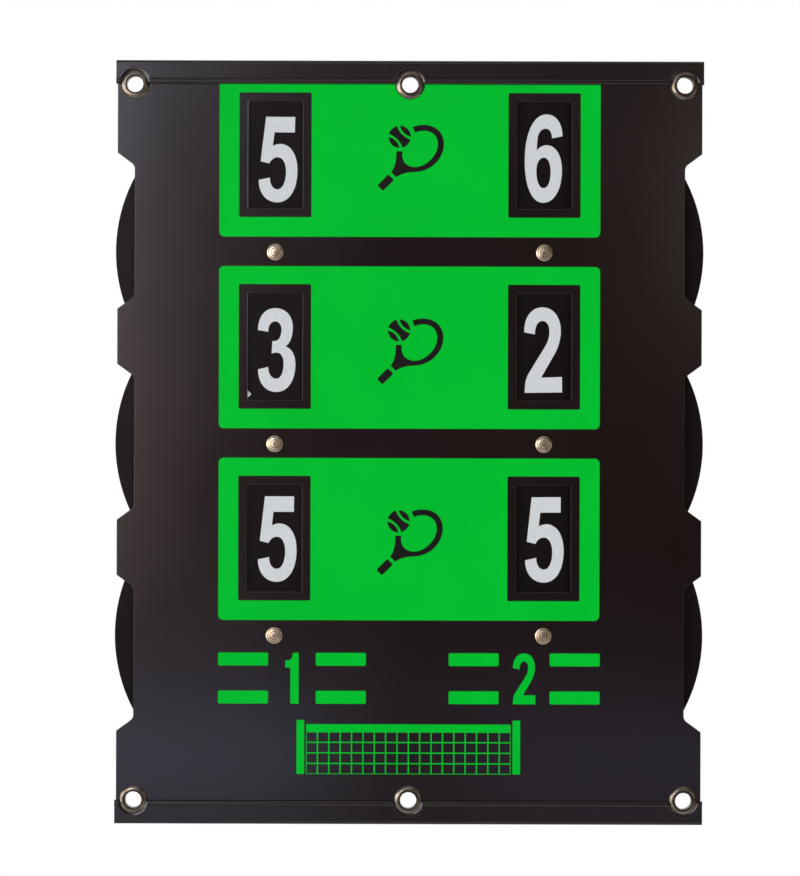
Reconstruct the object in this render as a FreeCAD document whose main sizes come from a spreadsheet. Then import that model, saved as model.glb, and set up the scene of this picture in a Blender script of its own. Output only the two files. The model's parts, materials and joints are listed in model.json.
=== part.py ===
import FreeCAD
import Part
import Sketcher
import math
import os

# A hanging score board: two notched plastic sheets with six turning number discs between them.
# X runs to the right, Z up, and the front faces -Y. The origin lies on the back face of the board,
# midway between the four corner eyelets.
# Every piece is drawn in its own frame: x to the right, y up the board and z towards the front.

doc = FreeCAD.newDocument("score_board")

columns = {"left": -1, "right": 1}
rows = {"top": 1, "middle": 0, "bottom": -1}
eyelet_places = {"left": -1, "middle": 0, "right": 1}
eyelet_edges = {"top": 1, "bottom": -1}

counter_clockwise = 1
clockwise = -1
tolerance = 1e-4

# Driving sizes in millimetres.
sizes = {
    # Sheets: the hems have the full width, and both sheets stand in a little at each side
    "board_width": 431,
    "sheet": 1.2,
    "back_side_inset": 0.7,
    "front_side_inset": 1.1,
    "front_edge_gap": 0.8,
    "edge_rounding": 0.5,
    # Number discs: the two columns overlap, and a rim stops short of the washers in the next row
    "disc_diameter": 234,
    "column_overlap": 36.6,
    "rim_clearance": 15.6,
    "above_discs": 23.6,
    "below_discs": 21.2,
    "disc_sheet": 0.8,
    "layer_gap": 0.5,
    "disc_face_clearance": 0.35,
    "disc_rim_rounding": 0.25,
    "disc_running_clearance": 0.06,
    # Green score fields, with a gap between them where the pivots stand
    "field_gap": 21.6,
    "pivot_below_field": 11.3,
    "field_side_border": 14.5,
    "field_upper_border": 13.2,
    "field_lower_border": 14.4,
    "field_corner": 3.6,
    "film": 0.12,
    "film_clearance": 0.1,
    # Windows, each with a bare margin round it inside the field
    "window_width": 40,
    "window_corner": 0.8,
    "window_margin": 6.5,
    "margin_corner": 1.2,
    # Finger notches in the sides of both sheets
    "notch_length": 96,
    "notch_slope": 9.2,
    "notch_depth": 12.5,
    "notch_tab": 40.4,
    "notch_corner": 5,
    "tab_corner": 0.8,
    "back_notch_relief": 0.8,
    # Hems of the back sheet, folded forward over the front sheet
    "hem_height": 17.5,
    "hem_bead_radius": 2.4,
    "hem_clearance": 0.13,
    "bend_radius": 1,
    "scallop_clearance": 0.4,
    # Pivot posts, their washers and the screws behind
    "post_head_diameter": 12.3,
    "post_head_height": 1.7,
    "post_head_edge": 0.6,
    "post_diameter": 8,
    "post_hole_clearance": 0.15,
    "washer_diameter": 16,
    "washer_play": 0.2,
    "screw_diameter": 4,
    "screw_fit": 0.05,
    "screw_hole_clearance": 0.2,
    "screw_reach": 4,
    "screw_bore_spare": 0.6,
    "screw_head_diameter": 11,
    "screw_head_height": 1.7,
    "screw_head_edge": 0.7,
    "screw_slot_width": 1.2,
    "screw_slot_depth": 0.8,
    # Eyelets with their spacers and back washers
    "eyelet_bore": 12,
    "eyelet_wall": 0.6,
    "eyelet_flange": 21.4,
    "eyelet_dome": 2,
    "eyelet_lip": 1,
    "eyelet_roll": 17,
    "eyelet_roll_height": 1.2,
    "eyelet_side_inset": 13.8,
    "eyelet_edge_inset": 17.6,
    "eyelet_hole_clearance": 0.2,
    "eyelet_spacer_diameter": 20,
    "eyelet_washer_diameter": 20.6,
    "eyelet_washer_sheet": 0.8,
    "eyelet_washer_rounding": 0.3,
    # How far a cut runs past what it cuts
    "cut_overrun": 5,
}

# Sizes that follow from the driving ones.
# A disc leans so that its upper half passes in front of the disc above it, as roof tiles do,
# and the right column lies one disc layer behind the left one.
fits = {
    "disc_radius": "=Dim.disc_diameter / 2",
    "pivot_spacing": "=Dim.disc_diameter - Dim.column_overlap",
    "column_x": "=pivot_spacing / 2",
    "row_pitch": "=disc_radius + Dim.washer_diameter / 2 + Dim.rim_clearance",
    "row_drop": "=(Dim.above_discs - Dim.below_discs) / 2",
    "board_height": "=2 * row_pitch + Dim.disc_diameter + Dim.above_discs + Dim.below_discs",
    "half_width": "=Dim.board_width / 2",
    "half_height": "=board_height / 2",
    "field_width": "=pivot_spacing + Dim.window_width + 2 * (Dim.window_margin + Dim.field_side_border)",
    "field_height": "=row_pitch - Dim.field_gap",
    "window_rise": "=Dim.pivot_below_field + Dim.field_lower_border + Dim.window_margin",
    "window_top": "=Dim.pivot_below_field + field_height - Dim.field_upper_border - Dim.window_margin",
    "back_half_width": "=half_width - Dim.back_side_inset",
    "front_half_width": "=half_width - Dim.front_side_inset",
    "front_half_height": "=half_height - Dim.sheet - Dim.front_edge_gap",
    "notch_x": "=front_half_width - Dim.notch_depth",
    "notch_pitch": "=Dim.notch_length + 2 * Dim.notch_slope + Dim.notch_tab",
    "eyelet_x": "=half_width - Dim.eyelet_side_inset",
    "eyelet_z": "=half_height - Dim.eyelet_edge_inset",
    "layer_step": "=Dim.disc_sheet + Dim.layer_gap",
    "lean": "=asin(layer_step / row_pitch)",
    "lean_reach": "=disc_radius * layer_step / row_pitch",
    "layer_depth": "=Dim.disc_face_clearance + lean_reach + Dim.disc_sheet / 2",
    "sheet_gap": "=2 * layer_depth + layer_step",
    "front_back": "=Dim.sheet + sheet_gap",
    "front_face": "=front_back + Dim.sheet",
    "hem_inner": "=front_face + Dim.film + Dim.hem_clearance",
    "hem_face": "=hem_inner + Dim.sheet",
    "bend_outer": "=Dim.bend_radius + Dim.sheet",
    "bend_start": "=half_height - bend_outer",
    "bead_inner": "=Dim.hem_bead_radius - Dim.sheet",
    "bead_centre": "=half_height - Dim.hem_height + Dim.hem_bead_radius",
    "bead_meets_hem": "=sqrt(Dim.hem_bead_radius ^ 2 - Dim.sheet ^ 2)",
    "near_washer": "=layer_depth - Dim.disc_sheet / 2 - Dim.washer_play",
    "far_washer": "=near_washer + layer_step",
    "post_radius": "=Dim.post_diameter / 2",
    "post_hole": "=post_radius + Dim.post_hole_clearance",
    "screw_radius": "=Dim.screw_diameter / 2",
    "eyelet_inner": "=Dim.eyelet_bore / 2",
    "eyelet_outer": "=eyelet_inner + Dim.eyelet_wall",
    "eyelet_hole": "=eyelet_outer + Dim.eyelet_hole_clearance",
    "eyelet_crest": "=eyelet_inner + Dim.eyelet_lip",
}


def fill_sheet(name, cells):
    sheet = doc.addObject("Spreadsheet::Sheet", name)
    for number, (alias, content) in enumerate(cells.items(), start=1):
        sheet.set(f"A{number}", alias)
        sheet.set(f"B{number}", str(content))
        sheet.setAlias(f"B{number}", alias)
    doc.recompute()
    return sheet


fill_sheet("Dim", sizes)
fit = fill_sheet("Fit", fits)


def measure(expression):
    found = fit.evalExpression(expression)
    return getattr(found, "Value", found)


# Drawing helpers


def new_body(label):
    body = doc.addObject("PartDesign::Body", label)
    body.Label = label
    return body


def place(body, x="0", depth="0", height="0", turn="90 deg"):
    # Stands the piece upright; depth is measured from the board's back face towards the front
    body.Placement = FreeCAD.Placement(FreeCAD.Vector(), FreeCAD.Rotation(FreeCAD.Vector(1, 0, 0), 90))
    body.setExpression("Placement.Base.x", x)
    body.setExpression("Placement.Base.y", f"-({depth})")
    body.setExpression("Placement.Base.z", height)
    body.setExpression("Placement.Rotation.Angle", turn)


def new_sketch(body, name, plane="XY_Plane", lift=None):
    sketch = body.newObject("Sketcher::SketchObject", name)
    support = next(item for item in body.Origin.OriginFeatures if item.Role == plane)
    sketch.AttachmentSupport = [(support, "")]
    sketch.MapMode = "FlatFace"
    if lift:
        sketch.setExpression("AttachmentOffset.Base.z", lift)
    return sketch


def tie(sketch, kind, places, expression):
    number = sketch.addConstraint(Sketcher.Constraint(kind, *places, measure(expression)))
    sketch.setExpression(f"Constraints[{number}]", expression)


def tie_point(sketch, item, point, x, y):
    # The sketch's own axes stand for a zero
    if x == "0":
        sketch.addConstraint(Sketcher.Constraint("PointOnObject", item, point, -2))
    else:
        tie(sketch, "DistanceX", (-1, 1, item, point), x)
    if y == "0":
        sketch.addConstraint(Sketcher.Constraint("PointOnObject", item, point, -1))
    else:
        tie(sketch, "DistanceY", (-1, 1, item, point), y)


def arc_between(start, end, radius, turn):
    chord = end - start
    half = chord.Length / 2
    rise = math.sqrt(max(radius ** 2 - half ** 2, 0))
    across = FreeCAD.Vector(-chord.y, chord.x, 0).normalize() * rise * turn
    centre = (start + end) / 2 + across
    first, last = (start, end) if turn == counter_clockwise else (end, start)
    angles = [math.atan2(spot.y - centre.y, spot.x - centre.x) for spot in (first, last)]
    circle = Part.Circle(centre, FreeCAD.Vector(0, 0, 1), radius)
    return Part.ArcOfCircle(circle, angles[0], angles[1])


def draw_outline(sketch, corners):
    # Each corner is (x, y), or (x, y, radius, turn) where an arc leads on to the next corner
    spots = [FreeCAD.Vector(measure(corner[0]), measure(corner[1]), 0) for corner in corners]
    ends = []
    for number, corner in enumerate(corners):
        start = spots[number]
        end = spots[(number + 1) % len(spots)]
        if len(corner) == 2:
            item = sketch.addGeometry(Part.LineSegment(start, end))
            ends.append((item, 1, 2))
            continue
        radius, turn = corner[2:]
        item = sketch.addGeometry(arc_between(start, end, measure(radius), turn))
        tie(sketch, "Radius", (item,), radius)
        ends.append((item, 1, 2) if turn == counter_clockwise else (item, 2, 1))
    for number, corner in enumerate(corners):
        item, first, _ = ends[number]
        before, _, last = ends[number - 1]
        sketch.addConstraint(Sketcher.Constraint("Coincident", before, last, item, first))
        tie_point(sketch, item, first, corner[0], corner[1])


def draw_rectangle(sketch, left, bottom, right, top):
    draw_outline(sketch, [(left, bottom), (right, bottom), (right, top), (left, top)])


def draw_rounded_rectangle(sketch, left, bottom, right, top, corner):
    arc = (corner, counter_clockwise)
    draw_outline(sketch, [
        (f"{left} + {corner}", bottom),
        (f"{right} - {corner}", bottom, *arc),
        (right, f"{bottom} + {corner}"),
        (right, f"{top} - {corner}", *arc),
        (f"{right} - {corner}", top),
        (f"{left} + {corner}", top, *arc),
        (left, f"{top} - {corner}"),
        (left, f"{bottom} + {corner}", *arc),
    ])


def draw_circle(sketch, radius, x="0", y="0"):
    spot = FreeCAD.Vector(measure(x), measure(y), 0)
    item = sketch.addGeometry(Part.Circle(spot, FreeCAD.Vector(0, 0, 1), measure(radius)))
    tie(sketch, "Radius", (item,), radius)
    tie_point(sketch, item, 3, x, y)


# Feature helpers


def pad(body, sketch, length, both_ways=False):
    feature = body.newObject("PartDesign::Pad", "Pad")
    feature.Profile = sketch
    feature.setExpression("Length", length)
    feature.Midplane = both_ways
    doc.recompute()
    return feature


def cut_forward(body, sketch, length=None):
    # Cuts from the sketch towards the front, right through unless a length is given
    whole = body.Shape.Volume
    feature = body.newObject("PartDesign::Pocket", "Pocket")
    feature.Profile = sketch
    feature.Reversed = True
    if length:
        feature.setExpression("Length", length)
    else:
        feature.Type = "ThroughAll"
    doc.recompute()
    if body.Shape.Volume > whole - tolerance:
        raise ValueError(f"{sketch.Label} cuts nothing from {body.Label}")
    return feature


def repeat(body, feature, up, across=(1, "0")):
    # up and across are (count, spacing), above and to the right of the first cut
    removed = feature.BaseFeature.Shape.Volume - feature.Shape.Volume
    pattern = body.newObject("PartDesign::LinearPattern", "Pattern")
    pattern.Originals = [feature]
    for suffix, axis, (count, spacing) in (("", "V_Axis", up), ("2", "H_Axis", across)):
        setattr(pattern, f"Direction{suffix}", (feature.Profile[0], [axis]))
        setattr(pattern, f"Mode{suffix}", "Spacing")
        setattr(pattern, f"Occurrences{suffix}", count)
        setattr(pattern, f"Spacings{suffix}", [-1.0] * (count - 1))  # -1 marks a step of the offset below
        pattern.setExpression(f"Offset{suffix}", spacing)
    body.Tip = pattern
    doc.recompute()
    repeats = (feature.Shape.Volume - body.Shape.Volume) / removed
    if round(repeats, 1) != up[0] * across[0] - 1:
        raise ValueError(f"{feature.Label} is repeated {repeats:.2f} times on {body.Label}")


def revolve(body, sketch):
    feature = body.newObject("PartDesign::Revolution", "Revolution")
    feature.Profile = sketch
    feature.ReferenceAxis = (sketch, ["V_Axis"])
    feature.Angle = 360
    doc.recompute()


def round_edges(body, radius, chosen):
    base = body.Tip
    names = [f"Edge{number}" for number, edge in enumerate(base.Shape.Edges, start=1) if chosen(edge)]
    feature = body.newObject("PartDesign::Fillet", "Fillet")
    feature.Base = (base, names)
    feature.setExpression("Radius", radius)
    doc.recompute()


def dome_radius(half_span, rise):
    # Radius of an arc that starts level and falls by rise over half_span
    return f"(({half_span}) ^ 2 + ({rise}) ^ 2) / (2 * ({rise}))"


# Sheets


def cut_windows(body):
    left = "-Fit.column_x - Dim.window_width / 2"
    right = "-Fit.column_x + Dim.window_width / 2"
    bottom = "-Fit.row_pitch - Fit.row_drop + Fit.window_rise"
    top = "-Fit.row_pitch - Fit.row_drop + Fit.window_top"
    sketch = new_sketch(body, "Windows")
    draw_rounded_rectangle(sketch, left, bottom, right, top, "Dim.window_corner")
    window = cut_forward(body, sketch)
    repeat(body, window, across=(2, "Fit.pivot_spacing"), up=(3, "Fit.row_pitch"))


def cut_pivot_holes(body, radius):
    sketch = new_sketch(body, "PivotHoles")
    draw_circle(sketch, radius, "-Fit.column_x", "-Fit.row_pitch - Fit.row_drop")
    hole = cut_forward(body, sketch)
    repeat(body, hole, across=(2, "Fit.pivot_spacing"), up=(3, "Fit.row_pitch"))


def cut_eyelet_holes(body, name, radius, lift=None):
    sketch = new_sketch(body, name, lift=lift)
    draw_circle(sketch, radius, "-Fit.eyelet_x", "-Fit.eyelet_z")
    hole = cut_forward(body, sketch)
    repeat(body, hole, across=(3, "Fit.eyelet_x"), up=(2, "2 * Fit.eyelet_z"))


def cut_notches(body, side_edge, relief="0"):
    # A notch is a trapezium that opens outwards, three on each side; its own corners are rounded
    # more than those of the tabs between the notches
    inner = f"(Fit.notch_x - {relief})"
    outer = "(Fit.half_width + Dim.cut_overrun)"
    short = f"(Dim.notch_length / 2 + {relief})"
    long = f"({short} + Dim.notch_slope * ({outer} - {inner}) / Dim.notch_depth)"
    centre = "-Fit.notch_pitch"
    sketch = new_sketch(body, "Notches")
    for side in ("-", "+"):
        draw_outline(sketch, [
            (f"{side}{outer}", f"{centre} - {long}"),
            (f"{side}{inner}", f"{centre} - {short}"),
            (f"{side}{inner}", f"{centre} + {short}"),
            (f"{side}{outer}", f"{centre} + {long}"),
        ])
    notch = cut_forward(body, sketch)
    repeat(body, notch, up=(3, "Fit.notch_pitch"))
    reach = measure(f"Fit.notch_pitch + {long}")

    def round_corners_at(line, radius):
        x = measure(line)

        def is_corner(edge):
            box = edge.BoundBox
            upright = box.XLength < tolerance and box.YLength < tolerance
            return upright and abs(abs(box.XMin) - x) < tolerance and abs(box.YMin) < reach

        round_edges(body, radius, is_corner)

    round_corners_at(inner, "Dim.notch_corner")
    round_corners_at(side_edge, "Dim.tab_corner")


def make_front_panel():
    body = new_body("front_panel")
    place(body, depth="Fit.front_back")
    sketch = new_sketch(body, "Sheet")
    draw_rectangle(sketch, "-Fit.front_half_width", "-Fit.front_half_height",
                   "Fit.front_half_width", "Fit.front_half_height")
    pad(body, sketch, "Dim.sheet")
    cut_windows(body)
    cut_pivot_holes(body, "Fit.post_hole")
    cut_eyelet_holes(body, "EyeletHoles", "Fit.eyelet_hole")
    cut_notches(body, "Fit.front_half_width")
    front = measure("Dim.sheet") - tolerance
    round_edges(body, "Dim.edge_rounding", lambda edge: edge.BoundBox.ZMin > front)


def make_back_panel():
    body = new_body("back_panel")
    place(body)
    sketch = new_sketch(body, "Sheet")
    draw_rectangle(sketch, "-Fit.back_half_width", "-Fit.bend_start",
                   "Fit.back_half_width", "Fit.bend_start")
    pad(body, sketch, "Dim.sheet")
    # The hem in section, from the outside of the fold round to the bead and back along the inside
    outer_bend = ("Fit.bend_outer", counter_clockwise)
    inner_bend = ("Dim.bend_radius", clockwise)
    outer_bead = ("Dim.hem_bead_radius", counter_clockwise)
    inner_bead = ("Fit.bead_inner", clockwise)
    section = new_sketch(body, "HemSection", "YZ_Plane")
    draw_outline(section, [
        ("Fit.bend_start", "0", *outer_bend),
        ("Fit.half_height", "Fit.bend_outer"),
        ("Fit.half_height", "Fit.hem_face - Fit.bend_outer", *outer_bend),
        ("Fit.bend_start", "Fit.hem_face"),
        ("Fit.bead_centre + Fit.bead_meets_hem", "Fit.hem_face", *outer_bead),
        ("Fit.bead_centre - Dim.hem_bead_radius", "Fit.hem_inner"),
        ("Fit.bead_centre - Fit.bead_inner", "Fit.hem_inner", *inner_bead),
        ("Fit.bead_centre", "Fit.hem_inner + Fit.bead_inner", *inner_bead),
        ("Fit.bead_centre + Fit.bead_inner", "Fit.hem_inner"),
        ("Fit.bend_start", "Fit.hem_inner", *inner_bend),
        ("Fit.half_height - Dim.sheet", "Fit.hem_inner - Dim.bend_radius"),
        ("Fit.half_height - Dim.sheet", "Fit.bend_outer", *inner_bend),
        ("Fit.bend_start", "Dim.sheet"),
    ])
    hem = pad(body, section, "Dim.board_width", both_ways=True)
    other_hem = body.newObject("PartDesign::Mirrored", "OtherHem")
    other_hem.Originals = [hem]
    other_hem.MirrorPlane = (section, ["V_Axis"])
    body.Tip = other_hem
    doc.recompute()
    cut_pivot_holes(body, "Fit.screw_radius + Dim.screw_hole_clearance")
    cut_eyelet_holes(body, "EyeletHoles", "Fit.eyelet_hole")
    cut_eyelet_holes(body, "HemScallops", "Dim.eyelet_flange / 2 + Dim.scallop_clearance", "Fit.front_face")
    cut_notches(body, "Fit.back_half_width", "Dim.back_notch_relief")


def make_score_field(row):
    body = new_body(f"score_field_{row}")
    place(body, depth="Fit.front_face", height=f"{rows[row]} * Fit.row_pitch - Fit.row_drop")
    sketch = new_sketch(body, "Field")
    bottom = "Dim.pivot_below_field"
    draw_rounded_rectangle(sketch, "-Fit.field_width / 2", bottom, "Fit.field_width / 2",
                           f"{bottom} + Fit.field_height", "Dim.field_corner")
    half_margin = "(Dim.window_width / 2 + Dim.window_margin)"
    for side in columns.values():
        draw_rounded_rectangle(sketch, f"{side} * Fit.column_x - {half_margin}",
                               "Fit.window_rise - Dim.window_margin",
                               f"{side} * Fit.column_x + {half_margin}",
                               "Fit.window_top + Dim.window_margin",
                               "Dim.margin_corner")
    pad(body, sketch, "Dim.film")
    if row == "top":
        hole = new_sketch(body, "EyeletClearance")
        draw_circle(hole, "Dim.eyelet_flange / 2 + Dim.film_clearance", "0",
                    "Fit.eyelet_z - Fit.row_pitch + Fit.row_drop")
        cut_forward(body, hole)


# Discs and pivots


def pivot_spot(column, row):
    return {"x": f"{columns[column]} * Fit.column_x",
            "height": f"{rows[row]} * Fit.row_pitch - Fit.row_drop"}


def draw_ring(body, outer, inner):
    sketch = new_sketch(body, "Ring")
    draw_circle(sketch, outer)
    draw_circle(sketch, inner)
    return sketch


def make_score_disc(column, row):
    body = new_body(f"score_disc_{column}_{row}")
    layers_back = "Fit.layer_step" if column == "right" else "0"
    place(body, depth=f"Fit.front_back - Fit.layer_depth - {layers_back}", turn="90 deg + Fit.lean",
          **pivot_spot(column, row))
    sketch = draw_ring(body, "Fit.disc_radius", "Fit.post_radius + Dim.disc_running_clearance")
    pad(body, sketch, "Dim.disc_sheet", both_ways=True)
    rim = measure("Fit.disc_radius") - tolerance
    round_edges(body, "Dim.disc_rim_rounding",
                lambda edge: edge.BoundBox.XMax > rim and edge.BoundBox.ZLength < tolerance)


def make_washers(column, row):
    front_sheet, back_sheet = ("Fit.near_washer", "Fit.far_washer")
    if column == "right":
        front_sheet, back_sheet = back_sheet, front_sheet
    stacks = {"front": (front_sheet, f"Fit.front_back - {front_sheet}"), "back": (back_sheet, "Dim.sheet")}
    for side, (thickness, depth) in stacks.items():
        body = new_body(f"{side}_washer_{column}_{row}")
        place(body, depth=depth, **pivot_spot(column, row))
        pad(body, draw_ring(body, "Dim.washer_diameter / 2", "Fit.post_hole"), thickness)


def make_pivot_post(column, row):
    body = new_body(f"pivot_post_{column}_{row}")
    place(body, **pivot_spot(column, row))
    bore = "Fit.screw_radius + Dim.screw_fit"
    bore_end = "Dim.sheet + Dim.screw_reach + Dim.screw_bore_spare"
    head = "Dim.post_head_diameter / 2"
    crown = dome_radius(head, "Dim.post_head_height - Dim.post_head_edge")
    section = new_sketch(body, "Section", "XZ_Plane")
    draw_outline(section, [
        ("0", bore_end),
        ("0", "Fit.front_face + Dim.post_head_height", crown, clockwise),
        (head, "Fit.front_face + Dim.post_head_edge"),
        (head, "Fit.front_face"),
        ("Fit.post_radius", "Fit.front_face"),
        ("Fit.post_radius", "Dim.sheet"),
        (bore, "Dim.sheet"),
        (bore, bore_end),
    ])
    revolve(body, section)


def make_pivot_screw(column, row):
    body = new_body(f"pivot_screw_{column}_{row}")
    place(body, **pivot_spot(column, row))
    head = "Dim.screw_head_diameter / 2"
    crown = dome_radius(head, "Dim.screw_head_height - Dim.screw_head_edge")
    section = new_sketch(body, "Section", "XZ_Plane")
    draw_outline(section, [
        ("0", "-Dim.screw_head_height"),
        ("0", "Dim.sheet + Dim.screw_reach"),
        ("Fit.screw_radius", "Dim.sheet + Dim.screw_reach"),
        ("Fit.screw_radius", "0"),
        (head, "0"),
        (head, "-Dim.screw_head_edge", crown, clockwise),
    ])
    revolve(body, section)
    slot = new_sketch(body, "Slot", lift="-Dim.screw_head_height")
    draw_rectangle(slot, f"-{head} - Dim.cut_overrun", "-Dim.screw_slot_width / 2",
                   f"{head} + Dim.cut_overrun", "Dim.screw_slot_width / 2")
    cut_forward(body, slot, "Dim.screw_slot_depth")


# Eyelets


def eyelet_spot(edge, side):
    return {"x": f"{eyelet_places[side]} * Fit.eyelet_x", "height": f"{eyelet_edges[edge]} * Fit.eyelet_z"}


def make_eyelet(edge, side):
    # A domed ring on the front, a barrel through both sheets and an end rolled over the back washer
    body = new_body(f"eyelet_{edge}_{side}")
    place(body, **eyelet_spot(edge, side))
    flange = "Dim.eyelet_flange / 2"
    roll = "Dim.eyelet_roll / 2"
    front = "Fit.front_face + Dim.eyelet_dome"
    back = "-Dim.eyelet_washer_sheet - Dim.eyelet_roll_height"
    dome = dome_radius(f"{flange} - Fit.eyelet_crest", "Dim.eyelet_dome")
    curl = dome_radius(f"{roll} - Fit.eyelet_crest", "Dim.eyelet_roll_height")
    section = new_sketch(body, "Section", "XZ_Plane")
    draw_outline(section, [
        ("Fit.eyelet_inner", f"{back} + Dim.eyelet_lip"),
        ("Fit.eyelet_inner", f"{front} - Dim.eyelet_lip", "Dim.eyelet_lip", clockwise),
        ("Fit.eyelet_crest", front, dome, clockwise),
        (flange, "Fit.front_face"),
        ("Fit.eyelet_outer", "Fit.front_face"),
        ("Fit.eyelet_outer", "-Dim.eyelet_washer_sheet"),
        (roll, "-Dim.eyelet_washer_sheet", curl, clockwise),
        ("Fit.eyelet_crest", back, "Dim.eyelet_lip", clockwise),
    ])
    revolve(body, section)


def make_eyelet_rings(edge, side):
    spacer = new_body(f"eyelet_spacer_{edge}_{side}")
    place(spacer, depth="Dim.sheet", **eyelet_spot(edge, side))
    pad(spacer, draw_ring(spacer, "Dim.eyelet_spacer_diameter / 2", "Fit.eyelet_hole"), "Fit.sheet_gap")
    washer = new_body(f"eyelet_washer_{edge}_{side}")
    place(washer, depth="-Dim.eyelet_washer_sheet", **eyelet_spot(edge, side))
    outer = "Dim.eyelet_washer_diameter / 2"
    pad(washer, draw_ring(washer, outer, "Fit.eyelet_hole"), "Dim.eyelet_washer_sheet")
    rim = measure(outer) - tolerance
    round_edges(washer, "Dim.eyelet_washer_rounding",
                lambda edge: edge.BoundBox.XMax > rim and edge.BoundBox.ZMax < tolerance)


# The whole board

make_front_panel()
make_back_panel()
for row in rows:
    make_score_field(row)
    for column in columns:
        make_score_disc(column, row)
        make_washers(column, row)
        make_pivot_post(column, row)
        make_pivot_screw(column, row)
for edge in eyelet_edges:
    for side in eyelet_places:
        make_eyelet(edge, side)
        make_eyelet_rings(edge, side)
doc.recompute()

faults = [item.Name for item in doc.Objects if {"Invalid", "Error"} & set(item.State)]
bodies = doc.findObjects("PartDesign::Body")
faults += [body.Label for body in bodies if body.Shape.isNull() or not body.Shape.isValid()]
if faults:
    raise ValueError(f"These did not build: {', '.join(faults)}")

os.makedirs("parts", exist_ok=True)
for body in bodies:
    body.Shape.exportStep(f"parts/{body.Label}.step")
    print(f"{body.Label}: {len(body.Shape.Solids)} solid, {body.Shape.Volume:.1f} mm3")
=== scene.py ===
import json
import math
import bmesh
import bpy
from mathutils import Matrix, Vector


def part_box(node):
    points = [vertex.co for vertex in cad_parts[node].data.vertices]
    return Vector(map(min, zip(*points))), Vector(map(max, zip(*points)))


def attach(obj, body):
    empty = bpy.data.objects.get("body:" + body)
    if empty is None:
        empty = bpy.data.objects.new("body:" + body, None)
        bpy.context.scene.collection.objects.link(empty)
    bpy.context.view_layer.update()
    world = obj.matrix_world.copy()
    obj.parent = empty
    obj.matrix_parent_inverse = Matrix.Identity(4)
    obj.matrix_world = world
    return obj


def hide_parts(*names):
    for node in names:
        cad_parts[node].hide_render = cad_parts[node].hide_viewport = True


# A hanging score board with six turning number discs.
# Sizes in the dictionaries are in mm and angles in degrees, unless a note says otherwise.
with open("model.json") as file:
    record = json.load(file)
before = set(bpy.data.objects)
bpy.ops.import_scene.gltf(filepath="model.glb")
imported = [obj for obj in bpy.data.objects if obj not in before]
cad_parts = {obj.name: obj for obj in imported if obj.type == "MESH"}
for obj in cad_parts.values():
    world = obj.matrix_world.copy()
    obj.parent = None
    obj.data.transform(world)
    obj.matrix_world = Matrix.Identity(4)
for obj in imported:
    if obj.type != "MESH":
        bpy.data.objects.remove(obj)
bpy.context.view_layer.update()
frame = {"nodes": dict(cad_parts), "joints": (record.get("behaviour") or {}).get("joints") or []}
mm = 0.001
columns = ("left", "right")
rows = ("top", "middle", "bottom")
discTurns = {joint["child"]: joint for joint in frame["joints"]}
print("frame loaded:", len(frame["nodes"]), "nodes,", len(discTurns), "turning discs")


# Node helpers

def feed(tree, socket, value):
    if isinstance(value, bpy.types.NodeSocket):
        tree.links.new(value, socket)
    else:
        socket.default_value = value


def mixColour(tree, share, first, second):
    node = tree.nodes.new("ShaderNodeMix")
    node.data_type = "RGBA"
    feed(tree, node.inputs[0], share)
    feed(tree, node.inputs[6], first)   # the colour sockets come after the number and vector ones
    feed(tree, node.inputs[7], second)
    return node.outputs[2]


def remap(tree, value, fromLow, fromHigh, toLow=0.0, toHigh=1.0):
    node = tree.nodes.new("ShaderNodeMapRange")
    feed(tree, node.inputs["Value"], value)
    node.inputs["From Min"].default_value = fromLow
    node.inputs["From Max"].default_value = fromHigh
    node.inputs["To Min"].default_value = toLow
    node.inputs["To Max"].default_value = toHigh
    return node.outputs["Result"]


def calculate(tree, operation, *values):
    node = tree.nodes.new("ShaderNodeMath")
    node.operation = operation
    for socket, value in zip(node.inputs, values):
        feed(tree, socket, value)
    return node.outputs["Value"]


def splitVector(tree, vector):
    # the X, Y and Z sockets of a vector
    node = tree.nodes.new("ShaderNodeSeparateXYZ")
    tree.links.new(vector, node.inputs["Vector"])
    return node.outputs


def startMaterial(name, look):
    material = bpy.data.materials.new(name)
    material.use_nodes = True
    shader = material.node_tree.nodes["Principled BSDF"]
    shader.inputs["Metallic"].default_value = look.get("metallic", 0.0)
    shader.inputs["Specular IOR Level"].default_value = look.get("gloss", 0.5)
    return material, material.node_tree, shader


noiseRange = (0.32, 0.68)   # where nearly all of the noise lies


def grain(tree, size, detail=3.0):
    # size is the mean width of one grain along x, y and z
    coords = tree.nodes.new("ShaderNodeTexCoord")
    mapping = tree.nodes.new("ShaderNodeMapping")
    mapping.inputs["Scale"].default_value = [1 / (width * mm) for width in size]
    noise = tree.nodes.new("ShaderNodeTexNoise")
    noise.inputs["Scale"].default_value = 1.0
    noise.inputs["Detail"].default_value = detail
    tree.links.new(coords.outputs["Object"], mapping.inputs["Vector"])
    tree.links.new(mapping.outputs["Vector"], noise.inputs["Vector"])
    return remap(tree, noise.outputs["Fac"], *noiseRange)


def relief(tree, shader, source, depth, strength=1.0):
    bump = tree.nodes.new("ShaderNodeBump")
    bump.inputs["Strength"].default_value = strength
    bump.inputs["Distance"].default_value = depth * mm
    tree.links.new(source, bump.inputs["Height"])
    tree.links.new(bump.outputs["Normal"], shader.inputs["Normal"])


# Finishes

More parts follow.
